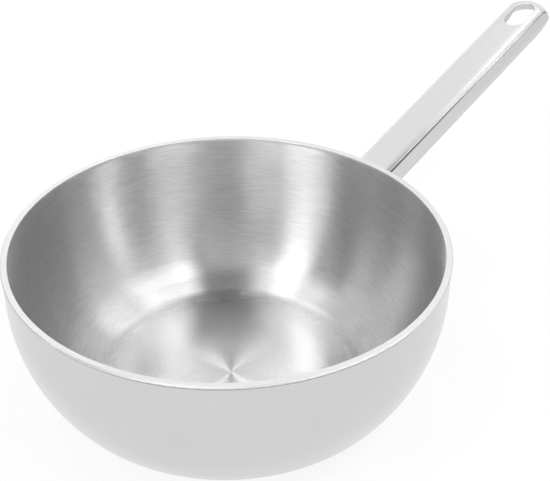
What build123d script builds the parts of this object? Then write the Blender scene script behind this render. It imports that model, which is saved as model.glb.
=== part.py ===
"""Saucier pan in five-ply clad steel: a round-bottomed open pan with one long welded handle.

The origin is the centre of the base's underside, +Z is up and the handle points along +X.
Lengths are in millimetres and angles in degrees.
"""

from build123d import *

import os
from math import cos, radians, sin

# Bowl. The section is a straight collar, a large belly arc, a smaller heel arc, a short cone and a tight
# foot arc into a flat base.
inner_radius = 120.0
pan_height = 95.8
collar_height = 18.0
belly_angle = 36.5
heel_radius = 42.2
heel_angle = 20.5
cone_length = 8.95
foot_radius = 12.0
quarter_turn = 90.0

# Layers of the clad sheet, from the lining to the outside
lining_thickness = 0.5
bond_thickness = 0.3
core_thickness = 1.6
skin_thickness = 0.5

# Sealed edge that closes the ends of the layers
rim_height = 1.6
rim_overhang = 0.5
rim_inner_round = 0.4
rim_outer_round = 0.5

# Handle, a channel open below. Lengths along it start under the rim's outer edge, and its top starts
# rim_drop below the rim.
rim_drop = 10.0
handle_slope = 17.7
handle_length = 197.8
handle_depth = 12.2
handle_sheet = 2.0
foot_width = 24.6
tip_width = 24.8
foot_roll_width = 3.0
tip_roll_width = 8.0
roll_angle = 20.5
side_flare = 2.1
side_band = 4.0
edge_round = 0.9

# Nose of the handle: round in plan, rounded off from above and raised from below
nose_radius = 17.4
nose_round = 8.8
nose_wall = 5.3
pocket_round = 4.0
rise_length = 24.0
rise_radius = 40.0
rise_angle = 50.0

# Hanging slot
slot_length = 25.0
slot_width = 14.0
slot_end_wall = 8.6
slot_round = 0.8
slot_lip = 0.15

# Weld bead round the handle's foot
weld_leg = 2.4
weld_toe = 0.3

# One overrun for every cut and for what reaches into a neighbour before it is trimmed
overrun = 4.0

# Sizes that follow
wall_thickness = lining_thickness + bond_thickness + core_thickness + bond_thickness + skin_thickness
outer_radius = inner_radius + wall_thickness
rim_radius = outer_radius + rim_overhang
seat_height = pan_height - rim_height
collar_base = pan_height - collar_height
cone_angle = belly_angle + heel_angle
belly_rise = sin(radians(belly_angle))
cone_rise = sin(radians(cone_angle))
heel_drop = heel_radius * (cone_rise - belly_rise)
cone_drop = cone_length * cos(radians(cone_angle))
foot_drop = foot_radius * (1 - cone_rise)
belly_radius = (collar_base - heel_drop - cone_drop - foot_drop) / belly_rise


# Sections of the bowl are drawn on the side away from the handle, so that no seam runs under its foot
section_plane = Plane(origin=(0, 0, 0), x_dir=(-1, 0, 0), z_dir=(0, 1, 0))


def trace_wall(depth):
    """Lines of the wall's section at a depth under its outer face, from the rim seat to the axis."""
    collar = Line((outer_radius - depth, seat_height), (outer_radius - depth, collar_base))
    belly = JernArc(collar @ 1, collar % 1, belly_radius - depth, -belly_angle)
    heel = JernArc(belly @ 1, belly % 1, heel_radius - depth, -heel_angle)
    cone = PolarLine(heel @ 1, cone_length, direction=heel % 1)
    foot = JernArc(cone @ 1, cone % 1, foot_radius - depth, cone_angle - quarter_turn)
    Line(foot @ 1, (0, depth))


def clad_layer(label, depth, thickness):
    """One layer of the clad sheet, with its outer face at a depth under the wall's outer face."""
    with BuildPart() as layer:
        with BuildSketch(section_plane):
            with BuildLine():
                trace_wall(depth)
                trace_wall(depth + thickness)
                Line((outer_radius - depth, seat_height), (outer_radius - depth - thickness, seat_height))
                Line((0, depth), (0, depth + thickness))
            make_face()
        revolve(axis=Axis.Z)
    layer.part.label = label
    export_step(layer.part, f"parts/{label}.step")


os.makedirs("parts", exist_ok=True)

outer_bond_depth = skin_thickness
core_depth = outer_bond_depth + bond_thickness
inner_bond_depth = core_depth + core_thickness
lining_depth = inner_bond_depth + bond_thickness

clad_layer("outer_skin", 0, skin_thickness)
clad_layer("outer_bond_layer", outer_bond_depth, bond_thickness)
clad_layer("aluminium_core", core_depth, core_thickness)
clad_layer("inner_bond_layer", inner_bond_depth, bond_thickness)
clad_layer("inner_skin", lining_depth, lining_thickness)

# Rim bead: a flat ring on the ends of the layers that stands a little proud of the wall outside
with BuildPart() as rim_bead:
    with BuildSketch(section_plane) as rim_section:
        with Locations((inner_radius, seat_height)):
            Rectangle(rim_radius - inner_radius, rim_height, align=(Align.MIN, Align.MIN))
        fillet(rim_section.vertices().group_by(Axis.Y)[-1].sort_by(Axis.X)[0], rim_inner_round)
        fillet(rim_section.vertices().sort_by(Axis.X)[-2:], rim_outer_round)
    revolve(axis=Axis.Z)
rim_bead.part.label = "rim_bead"
export_step(rim_bead.part, "parts/rim_bead.step")

# The space that the bowl's outer face encloses, which trims what is welded to the wall
with BuildPart() as bowl_envelope:
    with BuildSketch(section_plane):
        with BuildLine():
            trace_wall(0)
            Line((0, 0), (0, seat_height))
            Line((0, seat_height), (outer_radius, seat_height))
        make_face()
    revolve(axis=Axis.Z)

slope_run = cos(radians(handle_slope))
slope_rise = sin(radians(handle_slope))
handle_top = Plane(
    origin=(rim_radius, 0, pan_height - rim_drop),
    x_dir=(slope_run, 0, slope_rise),
    z_dir=(-slope_rise, 0, slope_run),
)
handle_side = Plane(origin=handle_top.origin, x_dir=handle_top.x_dir, z_dir=(0, -1, 0))
handle_normal = Axis(handle_top.origin, handle_top.z_dir)
handle_run = Axis(handle_top.origin, handle_top.x_dir)
slot_centre = handle_length - slot_end_wall - slot_length / 2
roll_run = sin(radians(roll_angle))


def channel_section(station, width, roll_width, inset):
    """Section across the handle, or with an inset across the hollow in it: a flat top that rolls off
    to each side, a flared facet and an upright band."""
    centre = handle_top.from_local_coords((station, 0, -inset))
    edge = width / 2 - inset
    roll_reach = roll_width * edge / (width / 2)
    with BuildSketch(Plane(origin=centre, x_dir=(0, 1, 0), z_dir=handle_top.x_dir)) as section:
        with BuildLine():
            flat = Line((0, 0), (edge - roll_reach, 0))
            roll = JernArc(flat @ 1, flat % 1, roll_reach / roll_run, -roll_angle)
            facet = Line(roll @ 1, (edge + side_flare, inset + side_band - handle_depth))
            band = Line(facet @ 1, (edge + side_flare, -handle_depth - overrun))
            Line(band @ 1, (0, -handle_depth - overrun))
            mirror(about=Plane.YZ)
        make_face()
    return section.sketch


def channel_form(inset, end_wall, rounding):
    """The handle's outer form, or with an inset and an end wall the hollow in it. Its nose is a turned
    form in front of a straight block, and both are trimmed to the bar's section."""
    floor = -handle_depth - overrun
    end = handle_length - end_wall
    centre = end - nose_radius
    back = end - 2 * nose_radius
    with BuildPart() as bar:
        loft([
            channel_section(-foot_width - overrun, foot_width, foot_roll_width, inset),
            channel_section(handle_length + overrun, tip_width, tip_roll_width, inset),
        ], ruled=True)
    with BuildPart() as form:
        with BuildSketch(handle_side):
            with BuildLine():
                top = Line((centre, -inset), (back + rounding, -inset))
                brow = JernArc(top @ 1, top % 1, rounding, quarter_turn)
                Polyline(brow @ 1, (back, floor), (centre, floor), top @ 0)
            make_face()
        revolve(axis=Axis(handle_top.from_local_coords((centre, 0, 0)), handle_top.z_dir))
        with BuildSketch(handle_top.offset(overrun)):
            with Locations((centre, 0)):
                Rectangle(centre + foot_width + overrun, 2 * nose_radius, align=(Align.MAX, Align.CENTER))
        extrude(amount=floor - overrun)
        add(bar.part, mode=Mode.INTERSECT)
    return form.part


outer_form = channel_form(0, 0, nose_round)
hollow_form = channel_form(handle_sheet, nose_wall, pocket_round)

# What cuts the hanging slot, with a flared mouth that rounds the slot's upper edge
with BuildPart() as slot_cutter:
    with BuildSketch(handle_top.offset(slot_lip)):
        with Locations((slot_centre, 0)):
            SlotOverall(slot_length, slot_width)
    extrude(amount=-handle_depth)
    with BuildSketch(handle_top.offset(slot_lip)):
        with Locations((slot_centre, 0)):
            SlotOverall(slot_length + 2 * overrun, slot_width + 2 * overrun)
    extrude(amount=overrun)
    ledge = slot_cutter.faces().filter_by(handle_normal).sort_by(handle_normal)[1]
    fillet(ledge.inner_wires().edges(), slot_round)

# Handle: a channel of thick sheet, open below, with a closed round nose and the hanging slot
with BuildPart() as handle:
    add(outer_form)
    sides = handle.faces().filter_by(lambda face: abs(face.normal_at().Y) > sin(radians(quarter_turn / 2)))
    facets = sides.filter_by(lambda face: face.normal_at().Z > roll_run / 2)
    knees = facets.edges() & (sides - facets).edges()
    ends = handle.faces().sort_by(handle_normal)[0].edges() + handle.faces().sort_by(handle_run)[0].edges()
    fillet((sides.edges() - knees - ends).sort_by(Axis.Y), edge_round)
    add(hollow_form, mode=Mode.SUBTRACT)
    with BuildSketch(handle_side):
        with BuildLine():
            back = -foot_width - 2 * overrun
            low = Line((back, -handle_depth), (handle_length - rise_length, -handle_depth))
            rise = JernArc(low @ 1, low % 1, rise_radius, rise_angle)
            below = -handle_depth - 2 * overrun
            Polyline(rise @ 1, ((rise @ 1).X, below), (back, below), low @ 0)
        make_face()
    extrude(amount=2 * nose_radius, both=True, mode=Mode.SUBTRACT)
    add(slot_cutter.part, mode=Mode.SUBTRACT)
    add(bowl_envelope.part, mode=Mode.SUBTRACT)
handle.part.label = "handle"
export_step(handle.part, "parts/handle.step")


def foot_section(reach, leg):
    """The handle's outline in an upright plane past the wall's outer face, a leg wider above and beside."""
    level = handle_top.origin.Z - (rim_overhang - reach) * slope_rise / slope_run
    knee = level - (handle_depth - side_band) / slope_run
    foot = level - handle_depth / slope_run
    shoulder = foot_width / 2 + leg
    flank = shoulder + side_flare
    with BuildSketch(Plane.YZ.offset(outer_radius + reach)) as section:
        with BuildLine():
            Polyline((0, level + leg), (shoulder, level + leg), (flank, knee), (flank, foot), (0, foot))
            mirror(about=Plane.YZ)
        make_face()
        fillet(section.vertices().group_by(Axis.Y)[-1], edge_round + leg)
    return section.sketch


# Weld bead: a fillet of metal in the corner between the outside of the handle's foot and the wall
with BuildPart() as handle_weld:
    loft([foot_section(-overrun, weld_leg + overrun), foot_section(weld_leg, weld_toe)], ruled=True)
    add(bowl_envelope.part, mode=Mode.SUBTRACT)
    add(hollow_form, mode=Mode.SUBTRACT)
    add(handle.part, mode=Mode.SUBTRACT)
handle_weld.part.label = "handle_weld"
export_step(handle_weld.part, "parts/handle_weld.step")
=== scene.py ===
"""Looks for the saucier pan: a lining brushed in circles, a polished outside, a satin rim and handle."""

import math

import bpy
from mathutils import Matrix, Vector


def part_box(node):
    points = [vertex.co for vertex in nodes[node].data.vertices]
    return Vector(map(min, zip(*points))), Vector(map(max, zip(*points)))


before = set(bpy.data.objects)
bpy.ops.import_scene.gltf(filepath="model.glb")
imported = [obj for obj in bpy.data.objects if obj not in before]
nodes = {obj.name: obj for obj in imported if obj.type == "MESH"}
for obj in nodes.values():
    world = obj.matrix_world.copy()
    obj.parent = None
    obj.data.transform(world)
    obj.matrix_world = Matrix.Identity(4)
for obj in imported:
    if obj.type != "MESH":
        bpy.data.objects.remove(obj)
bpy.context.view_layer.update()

MM = 0.001

# Camera, from the ellipses of the rim and the lines of the handle in the photograph
IMAGE_WIDTH = 550
FOCAL_PIXELS = 1184
SENSOR_WIDTH = 36.0
CAMERA_ELEVATION = math.radians(33.19)
HANDLE_AZIMUTH = math.radians(48.37)
CAMERA_DISTANCE = 0.6538
CAMERA_RIGHT = 0.02615
CAMERA_UP = 0.0007

# Sizes read from the frame
RIM_LOW, RIM_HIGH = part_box("rim_bead")
PAN_HEIGHT = RIM_HIGH.z
RIM_RADIUS = RIM_HIGH.y

# Each finish has the tones and the roughness between which its grain moves, the depth of its bump, and the
# features of its grain: per metre, or round the bowl per unit of turn and per metre of wall.
STEEL_BLUE = -0.002
WELD_BLUE = -0.01
ALUMINIUM_BLUE = 0.01
SATIN_ROUGHNESS = (0.42, 0.50)

# Lining: the radius at which its flat floor ends, the rings in which the finish changes between the centre,
# the floor and the wall, and short scratches that lean off the rings and turn the direction of brushing.
# A range of a noise is the part of it that moves what it drives.
FLOOR_RADIUS = 78 * MM
FLOOR_BLEND = (FLOOR_RADIUS - 20 * MM, FLOOR_RADIUS + 2 * MM)
CENTRE_BLEND = (6 * MM, 44 * MM)
CENTRE_ROUGHNESS = 0.27
FLOOR_ROUGHNESS = 0.14
WALL_ROUGHNESS = (0.29, 0.38)
# The floor's tones are lighter than the wall's: painted light on the lining's floor.
LIT_FLOOR_TONES = (0.74, 0.80)
WALL_TONES = (0.585, 0.685)
LINING_DEPTH = 0.003 * MM
RING_GRAIN = (9.0, 1000.0)
RING_DETAIL = 4.0
RING_NOISE = (0.3, 0.7)
RING_LINES = (-0.5, 0.5)
SCRATCH_GRAIN = (12.0, 3000.0)
SCRATCH_NOISE = (0.15, 0.35)
SCRATCH_LEAN = 0.014
SCRATCH_WEIGHT = 2.0
WALL_NOISE = (0.1, 0.4)
BRUSH_NOISE = (-0.2, 0.2)
BRUSH_TURN = (0.232, 0.268)

# Outside, with painted shade in a thin band just under the rim bead, where the bead's overhang shades the
# wall
OUTSIDE_TONES = (0.61, 0.65)
OUTSIDE_ROUGHNESS = (0.20, 0.26)
OUTSIDE_DEPTH = 0.001 * MM
OUTSIDE_GRAIN = (6.0, 1500.0)
OUTSIDE_CLOUD = 22.0
BEAD_SHADE_TONE = 0.38
BEAD_SHADE_START = RIM_LOW.z - 0.7 * MM
BEAD_SHADE_FULL = RIM_LOW.z - 0.5 * MM

# Rim
RIM_TONES = (0.67, 0.73)
RIM_DEPTH = 0.002 * MM
RIM_GRAIN = (12.0, 2500.0)

# Handle: its creases, measured from its middle, the painted shade along them, a dark line which fades along
# the handle, and the rolls beside its flat top
TOP_TONES = (0.64, 0.68)
# The facets take slightly darker tones than the top: painted shade.
SHADED_FACET_TONES = (0.62, 0.66)
HANDLE_DEPTH = 0.004 * MM
FINE_GRAIN = 900.0
FINE_DETAIL = 3.0
CREASE_SHADE_TONE = 0.10
CREASE_OFFSET = 12.35 * MM
CREASE_HALF_WIDTH = 0.45 * MM
CREASE_SHADE_FADE = (RIM_RADIUS + 10 * MM, RIM_RADIUS + 120 * MM)
CREASE_SHADE_FAINT = 0.25
ROLL_START = 7 * MM
ROLL_FULL = 11 * MM
ROLL_SMOOTHER = 0.16

# Weld and aluminium
WELD_TONES = (0.55, 0.68)
WELD_ROUGHNESS = (0.30, 0.5)
WELD_DEPTH = 0.03 * MM
BOND_TONES = (0.74, 0.80)
CORE_TONES = (0.80, 0.86)
ALUMINIUM_ROUGHNESS = (0.35, 0.5)
ALUMINIUM_GRAIN = 400.0

# Floor, and the low white backdrop behind it, whose top is given as the height of a unit direction
STAGE_REACH = 4.0
STAGE_GLOW = 0.85
STAGE_TONE = 0.92
BACKDROP_TOP = 0.22
BACKDROP_FADE = 10.0

# Soft boxes: name, azimuth and elevation, width and height as seen from the pan, all in degrees, and level
LAMP_DISTANCE = 1.5
LAMPS = (
    ("left_low", -32, 10, 46, 15, 4.6),
    ("left_mid", -48, 47, 18, 45, 3.5),
    ("left_high", -109, 65, 19, 18, 3.5),
    ("right_low", 33, 9, 26, 21, 3.4),
    ("right_low_2", 71, 14, 11, 13, 7.1),
    ("right_high", 67, 60, 34, 19, 4.9),
    ("left_high_2", -87, 79, 16, 10, 2.0),
    ("back_left_high", -142, 59, 18, 12, 2.1),
    ("back_right_high", 157, 57, 13, 14, 3.0),
    ("back_left_mid", -122, 25, 15, 10, 3.1),
    ("back_left_low", -162, 7, 20, 13, 4.2),
    ("front_mid", -3, 46, 35, 22, 1.8),
    ("right_mid", 103, 45, 36, 19, 2.2),
    ("left_mid_2", -104, 36, 28, 15, 1.6),
    ("back_mid_2", 179, 34, 82, 50, 1.1),
    ("right_high_2", 44, 61, 9, 15, 3.1),
)


def view_axes():
    """The photograph's right, forward and up directions in the row frame."""
    turn, tilt = HANDLE_AZIMUTH, CAMERA_ELEVATION
    right = Vector((math.cos(turn), -math.sin(turn), 0))
    depth = Vector((math.sin(turn), math.cos(turn), 0))
    forward = depth * math.cos(tilt) - Vector((0, 0, 1)) * math.sin(tilt)
    return right, forward, right.cross(forward)


def make_camera():
    right, forward, up = view_axes()
    data = bpy.data.cameras.new("camera")
    data.sensor_width = SENSOR_WIDTH
    data.lens = FOCAL_PIXELS / IMAGE_WIDTH * SENSOR_WIDTH
    camera = bpy.data.objects.new("camera", data)
    place = Vector((0, 0, PAN_HEIGHT)) - forward * CAMERA_DISTANCE + right * CAMERA_RIGHT + up * CAMERA_UP
    axes = Matrix((right, up, -forward)).transposed().to_4x4()
    camera.matrix_world = Matrix.Translation(place) @ axes
    bpy.context.scene.collection.objects.link(camera)
    bpy.context.scene.camera = camera


def tone(level, blue=0.0):
    """A grey at a level, with a little more or less blue."""
    return level, level, level + blue, 1


class Nodes:
    """A node tree, with short calls for the nodes that the finishes, the floor and the world share."""

    def __init__(self, tree, output):
        self.tree = tree
        self.tree.nodes.clear()
        self.output = self.node(output)

    def node(self, kind, **settings):
        made = self.tree.nodes.new(kind)
        for key, value in settings.items():
            setattr(made, key, value)
        return made

    def feed(self, socket, value):
        if isinstance(value, bpy.types.NodeSocket):
            self.tree.links.new(value, socket)
        else:
            socket.default_value = value

    def math(self, operation, first, second=0.0, clamp=False):
        made = self.node("ShaderNodeMath", operation=operation, use_clamp=clamp)
        self.feed(made.inputs[0], first)
        self.feed(made.inputs[1], second)
        return made.outputs[0]

    def sum(self, first, second):
        return self.math("ADD", first, second)

    def product(self, first, second):
        return self.math("MULTIPLY", first, second)

    def blend(self, value, first, second, kind="FLOAT"):
        made = self.node("ShaderNodeMix", data_type=kind)
        sockets = [socket for socket in made.inputs if socket.enabled]
        for socket, fed in zip(sockets, (value, first, second)):
            self.feed(socket, fed)
        return next(socket for socket in made.outputs if socket.enabled)

    def tint(self, value, first, second):
        return self.blend(value, first, second, "RGBA")

    def grey(self, value, tones, blue=0.0):
        return self.tint(value, tone(tones[0], blue), tone(tones[1], blue))

    def sees_backdrop(self):
        """1 for the rays that show the plain background, in the picture or in metal, and 0 for light."""
        path = self.node("ShaderNodeLightPath").outputs
        seen = self.math("MAXIMUM", path["Is Camera Ray"], path["Is Glossy Ray"])
        return self.math("MAXIMUM", seen, path["Is Transmission Ray"])


class Shader(Nodes):
    """A material's node tree."""

    def __init__(self, name):
        self.material = bpy.data.materials.new(name)
        self.material.use_nodes = True
        super().__init__(self.material.node_tree, "ShaderNodeOutputMaterial")

    def point(self):
        """The point in metres, in the row frame."""
        return self.node("ShaderNodeTexCoord").outputs["Object"]

    def place(self):
        """The point's x, y and z."""
        split = self.node("ShaderNodeSeparateXYZ")
        self.feed(split.inputs[0], self.point())
        return split.outputs

    def radius(self):
        """The point's distance from the bowl's axis."""
        x, y, _ = self.place()
        return self.math("SQRT", self.sum(self.product(x, x), self.product(y, y)))

    def noise(self, vector, scale=1.0, detail=2.0):
        made = self.node("ShaderNodeTexNoise")
        self.feed(made.inputs["Vector"], vector)
        made.inputs["Scale"].default_value = scale
        made.inputs["Detail"].default_value = detail
        return made.outputs["Fac"]

    def around(self, grain, lean=(0.0, 0.0)):
        """Coordinates that draw a noise out into rings round the bowl's axis, or into arcs that lean."""
        turns, lines = grain
        x, y, z = self.place()
        radius = self.radius()
        east = self.math("DIVIDE", x, radius)
        north = self.math("DIVIDE", y, radius)
        drift = self.sum(self.product(east, lean[0]), self.product(north, lean[1]))
        line = self.product(self.sum(self.sum(radius, z), drift), lines)
        made = self.node("ShaderNodeCombineXYZ")
        for socket, value in zip(made.inputs, (self.product(east, turns), self.product(north, turns), line)):
            self.feed(socket, value)
        return made.outputs[0]

    def spread(self, value, low, high, start=0.0, end=1.0):
        """A value from low to high while another goes from start to end."""
        made = self.node("ShaderNodeMapRange")
        self.feed(made.inputs["Value"], value)
        made.inputs["From Min"].default_value = start
        made.inputs["From Max"].default_value = end
        made.inputs["To Min"].default_value = low
        made.inputs["To Max"].default_value = high
        return made.outputs[0]

    def bump(self, height, depth):
        made = self.node("ShaderNodeBump")
        made.inputs["Strength"].default_value = 1.0
        made.inputs["Distance"].default_value = depth
        self.feed(made.inputs["Height"], height)
        return made.outputs[0]

    def metal(self, color, roughness, normal=None):
        """The material as a metal, and the shader on which a brushed finish sets what more it needs."""
        metal = self.node("ShaderNodeBsdfPrincipled")
        metal.inputs["Metallic"].default_value = 1.0
        self.feed(metal.inputs["Base Color"], color)
        self.feed(metal.inputs["Roughness"], roughness)
        if normal is not None:
            self.feed(metal.inputs["Normal"], normal)
        self.feed(self.output.inputs["Surface"], metal.outputs[0])
        return metal


def brushed_lining():
    """Satin steel brushed in circles, with short scratches that lean off them and a smoother floor, painted
    lighter than the wall as painted light.
    """
    shader = Shader("brushed_lining")
    rings = shader.noise(shader.around(RING_GRAIN), detail=RING_DETAIL)
    lean_out = shader.noise(shader.around(SCRATCH_GRAIN, (SCRATCH_LEAN, 0.0)))
    lean_back = shader.noise(shader.around(SCRATCH_GRAIN, (0.0, -SCRATCH_LEAN)))
    scratches = shader.product(lean_out, lean_back)
    ring_lines = shader.spread(rings, *RING_LINES, *RING_NOISE)
    lines = shader.sum(ring_lines, shader.spread(scratches, 0.0, 1.0, *SCRATCH_NOISE))
    radius = shader.radius()
    climb = shader.spread(radius, 0.0, 1.0, *FLOOR_BLEND)
    wall_color = shader.grey(lines, WALL_TONES, STEEL_BLUE)
    # painted light: the floor gets lighter tones than the wall
    lit_floor_color = shader.grey(lines, LIT_FLOOR_TONES, STEEL_BLUE)
    floor = shader.spread(radius, CENTRE_ROUGHNESS, FLOOR_ROUGHNESS, *CENTRE_BLEND)
    wall = shader.spread(scratches, *WALL_ROUGHNESS, *WALL_NOISE)
    color = shader.tint(climb, lit_floor_color, wall_color)
    height = shader.sum(rings, shader.product(scratches, SCRATCH_WEIGHT))
    metal = shader.metal(color, shader.blend(climb, floor, wall), shader.bump(height, LINING_DEPTH))
    metal.inputs["Anisotropic"].default_value = 1.0
    turn = shader.spread(shader.math("SUBTRACT", lean_out, lean_back), *BRUSH_TURN, *BRUSH_NOISE)
    shader.feed(metal.inputs["Anisotropic Rotation"], turn)
    tangent = shader.node("ShaderNodeTangent", direction_type="RADIAL", axis="Z").outputs[0]
    shader.feed(metal.inputs["Tangent"], tangent)
    return shader.material


def polished_outside():
    """Smooth steel with a faint turned grain, with painted shade in a thin band under the bead."""
    shader = Shader("polished_steel")
    grain = shader.noise(shader.around(OUTSIDE_GRAIN))
    clean = shader.grey(shader.noise(shader.point(), OUTSIDE_CLOUD), OUTSIDE_TONES)
    # painted shade: the wall is darkened just under the rim bead
    bead_shade = shader.spread(shader.place()[2], 0.0, 1.0, BEAD_SHADE_START, BEAD_SHADE_FULL)
    color = shader.tint(bead_shade, clean, tone(BEAD_SHADE_TONE))
    shader.metal(color, shader.spread(grain, *OUTSIDE_ROUGHNESS), shader.bump(grain, OUTSIDE_DEPTH))
    return shader.material


def satin_rim():
    shader = Shader("rim_steel")
    grain = shader.noise(shader.around(RIM_GRAIN))
    roughness = shader.spread(grain, *SATIN_ROUGHNESS)
    shader.metal(shader.grey(grain, RIM_TONES), roughness, shader.bump(grain, RIM_DEPTH))
    return shader.material


def handle_steel():
    """Satin steel with smoother rolls, painted a little darker on the facets as painted shade, and painted
    shade as a dark line along the creases.
    """
    shader = Shader("handle_steel")
    grain = shader.noise(shader.point(), FINE_GRAIN, FINE_DETAIL)
    along, side, _ = shader.place()
    across = shader.math("ABSOLUTE", side)
    # painted shade: the side facets get a darker copy of the top's tones
    shaded_facet = shader.spread(across, 0.0, 1.0, CREASE_OFFSET, CREASE_OFFSET + 2 * CREASE_HALF_WIDTH)
    # painted shade: a dark line along each crease, fading along the handle
    off_crease = shader.math("ABSOLUTE", shader.math("SUBTRACT", across, CREASE_OFFSET))
    line = shader.spread(off_crease, 1.0, 0.0, 0.5 * CREASE_HALF_WIDTH, CREASE_HALF_WIDTH)
    fade = shader.spread(along, 1.0, CREASE_SHADE_FAINT, *CREASE_SHADE_FADE)
    plain = shader.tint(shaded_facet, shader.grey(grain, TOP_TONES), shader.grey(grain, SHADED_FACET_TONES))
    # the painted shade of the creases is laid over the steel's tones
    color = shader.tint(shader.product(line, fade), plain, tone(CREASE_SHADE_TONE))
    smoother = shader.spread(across, 0.0, ROLL_SMOOTHER, ROLL_START, ROLL_FULL)
    roughness = shader.math("SUBTRACT", shader.spread(grain, *SATIN_ROUGHNESS), smoother)
    shader.metal(color, roughness, shader.bump(grain, HANDLE_DEPTH))
    return shader.material


def ground_weld():
    shader = Shader("weld_metal")
    grain = shader.noise(shader.point(), FINE_GRAIN, FINE_DETAIL)
    color = shader.grey(grain, WELD_TONES, WELD_BLUE)
    shader.metal(color, shader.spread(grain, *WELD_ROUGHNESS), shader.bump(grain, WELD_DEPTH))
    return shader.material


def rolled_aluminium(name, tones):
    shader = Shader(name)
    grain = shader.noise(shader.point(), ALUMINIUM_GRAIN)
    shader.metal(shader.grey(grain, tones, ALUMINIUM_BLUE), shader.spread(grain, *ALUMINIUM_ROUGHNESS))
    return shader.material


def dress():
    """Gives every CAD node its finish."""
    bond = rolled_aluminium("bond_aluminium", BOND_TONES)
    finishes = {
        "inner_skin": brushed_lining(),
        "inner_bond_layer": bond,
        "aluminium_core": rolled_aluminium("core_aluminium", CORE_TONES),
        "outer_bond_layer": bond,
        "outer_skin": polished_outside(),
        "rim_bead": satin_rim(),
        "handle": handle_steel(),
        "handle_weld": ground_weld(),
    }
    for name, material in finishes.items():
        nodes[name].data.materials.clear()
        nodes[name].data.materials.append(material)


def make_floor():
    """A white floor that still takes the object's shadow."""
    corners = [(x * STAGE_REACH, y * STAGE_REACH, 0) for x, y in ((-1, -1), (1, -1), (1, 1), (-1, 1))]
    mesh = bpy.data.meshes.new("floor")
    mesh.from_pydata(corners, [], [(0, 1, 2, 3)])
    floor = bpy.data.objects.new("floor", mesh)
    bpy.context.scene.collection.objects.link(floor)
    shader = Shader("floor")
    matte = shader.node("ShaderNodeBsdfDiffuse")
    matte.inputs["Color"].default_value = tone(STAGE_TONE)
    glow = shader.node("ShaderNodeEmission")
    glow.inputs["Color"].default_value = tone(1.0)
    mix = shader.node("ShaderNodeMixShader")
    shader.feed(mix.inputs[0], shader.product(shader.sees_backdrop(), STAGE_GLOW))
    shader.feed(mix.inputs[1], matte.outputs[0])
    shader.feed(mix.inputs[2], glow.outputs[0])
    shader.feed(shader.output.inputs["Surface"], mix.outputs[0])
    mesh.materials.append(shader.material)


def make_world():
    """A dark room, which leaves the light to the soft boxes, with a low white backdrop at the horizon."""
    world = bpy.data.worlds.new("studio")
    bpy.context.scene.world = world
    world.use_nodes = True
    sky = Nodes(world.node_tree, "ShaderNodeOutputWorld")
    split = sky.node("ShaderNodeSeparateXYZ")
    sky.feed(split.inputs[0], sky.node("ShaderNodeTexCoord").outputs["Generated"])
    below_top = sky.math("SUBTRACT", BACKDROP_TOP, split.outputs["Z"], clamp=True)
    fade = sky.math("MULTIPLY", below_top, BACKDROP_FADE, clamp=True)
    backdrop = sky.node("ShaderNodeBackground")
    backdrop.inputs["Color"].default_value = tone(1.0)
    sky.feed(backdrop.inputs["Strength"], sky.product(fade, sky.sees_backdrop()))
    sky.feed(sky.output.inputs["Surface"], backdrop.outputs[0])


def make_lamp(name, azimuth, elevation, wide, high, level):
    """A soft box that faces the pan and fills an angle of wide by high degrees as seen from it. Its azimuth
    is from the camera's own bearing, positive to its right."""
    right, forward, up = view_axes()
    turn, tilt = math.radians(azimuth), math.radians(elevation)
    ahead = Vector((forward.x, forward.y, 0)).normalized()
    bearing = -ahead * math.cos(turn) + right * math.sin(turn)
    direction = bearing * math.cos(tilt) + Vector((0, 0, 1)) * math.sin(tilt)
    data = bpy.data.lights.new(name, "AREA")
    data.shape = "RECTANGLE"
    data.size = 2 * LAMP_DISTANCE * math.tan(math.radians(wide / 2))
    data.size_y = 2 * LAMP_DISTANCE * math.tan(math.radians(high / 2))
    data.energy = level * data.size * data.size_y * math.pi
    lamp = bpy.data.objects.new(name, data)
    lamp.location = Vector((0, 0, PAN_HEIGHT / 2)) + direction * LAMP_DISTANCE
    lamp.rotation_euler = direction.to_track_quat("Z", "Y").to_euler()
    bpy.context.scene.collection.objects.link(lamp)


make_camera()
dress()
make_floor()
make_world()
for lamp in LAMPS:
    make_lamp(*lamp)
bpy.context.scene.view_settings.view_transform = "Standard"
